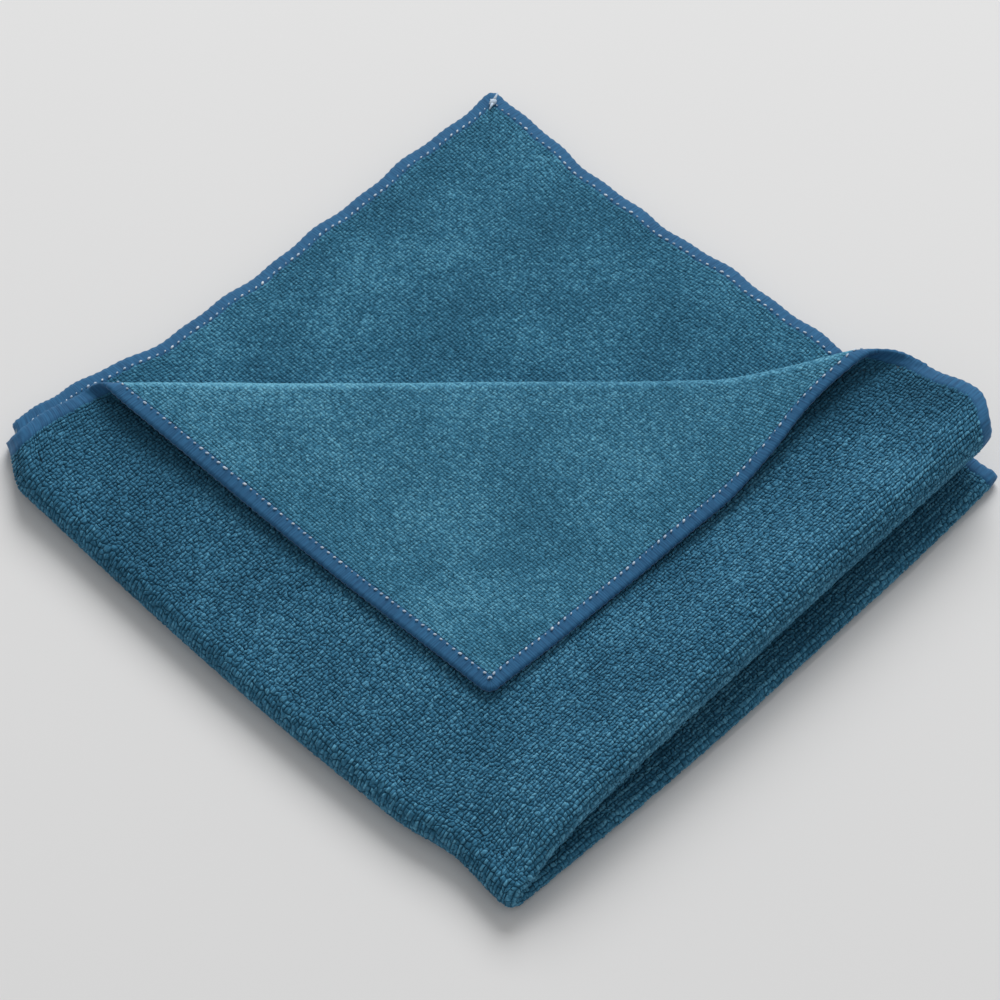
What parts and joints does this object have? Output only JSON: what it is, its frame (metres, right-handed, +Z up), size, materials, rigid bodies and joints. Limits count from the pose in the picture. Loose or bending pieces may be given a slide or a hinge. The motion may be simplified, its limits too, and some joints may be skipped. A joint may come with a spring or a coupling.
{
  "type": "microfibre polishing cloth",
  "caption": "Square plush microfibre polishing cloth with an overlocked edge, quarter-folded, with the free corner of its top layer turned back.",
  "frame": {"origin": "centre of the folded square on the surface it rests on", "axes": "+Z up; the corner where both folds meet is at -X -Y, the four free corners are at +X +Y, the edge with the two separate folds faces -Y and the edge with the nested fold faces -X"},
  "size_m": [0.2, 0.2, 0.024],
  "materials": {
    "cloth": "plush loop-pile microfibre knit, longer on one face than on the other",
    "hem": "overlock stitching in fluffed polyester thread",
    "thread": "pale knotted end of the sewing thread"
  },
  "bodies": {
    "lower_half": {"bottom_panel": "cloth", "bottom_back_hem": "hem", "lower_inner_panel": "cloth", "lower_inner_back_hem": "hem", "lower_front_fold": "cloth", "lower_right_hem": "hem", "front_corner_fold": "cloth", "outer_side_fold": "cloth", "outer_side_hem": "hem", "inner_side_fold": "cloth", "inner_side_hem": "hem"},
    "upper_half": {"upper_inner_panel": "cloth", "upper_inner_back_hem": "hem", "top_panel": "cloth", "top_back_hem": "hem", "upper_front_fold": "cloth", "upper_right_hem": "hem", "crease_roll": "cloth", "crease_left_hem": "hem", "crease_right_hem": "hem", "thread_knot": "thread"},
    "corner_flap": {"flap_panel": "cloth", "flap_left_hem": "hem", "flap_right_hem": "hem"}
  },
  "joints": [
    {"name": "open_upper_half", "type": "hinge", "parent": "lower_half", "child": "upper_half", "pos_m": [-0.09467, 0, 0.00532], "axis": [0, -1, 0], "range_deg": [0, 165], "deforming": ["front_corner_fold", "outer_side_fold", "outer_side_hem", "inner_side_fold", "inner_side_hem"]},
    {"name": "turn_corner", "type": "hinge", "parent": "upper_half", "child": "corner_flap", "pos_m": [0.01956, 0.01956, 0.01295], "axis": [-0.7071, 0.7071, 0], "range_deg": [0, 175], "deforming": ["crease_roll", "crease_left_hem", "crease_right_hem"]}
  ]
}
